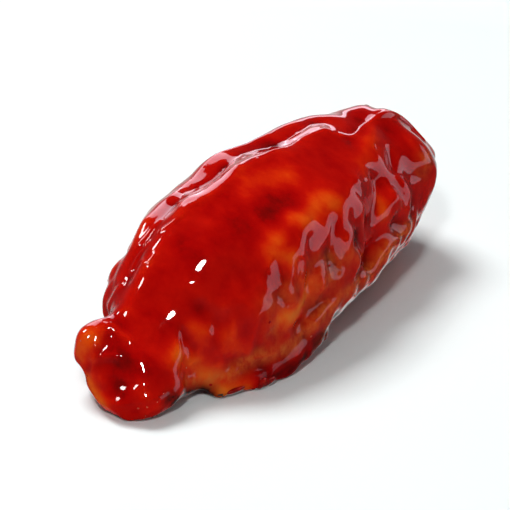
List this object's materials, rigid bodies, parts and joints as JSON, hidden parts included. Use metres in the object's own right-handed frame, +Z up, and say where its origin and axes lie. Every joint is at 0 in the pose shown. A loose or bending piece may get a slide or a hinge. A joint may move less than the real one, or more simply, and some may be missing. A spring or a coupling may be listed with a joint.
{
  "type": "chicken wing",
  "caption": "Glazed chicken wing, the flat middle joint: a plump tapered piece with folded, wrinkled skin, a narrow wrist end and a thick elbow end, lying on its flattened underside.",
  "frame": {"origin": "middle of the wing's bounding box, on the surface that it lies on", "axes": "+X from the narrow wrist end to the thick elbow end, +Z up, -Y the wrinkled flank that the picture shows"},
  "size_m": [0.0824, 0.0342, 0.0294],
  "materials": {
    "glazed_skin": "deep red sticky glaze over roasted skin, wet gloss"
  },
  "bodies": {
    "root": {"wing": "glazed_skin"}
  },
  "joints": []
}
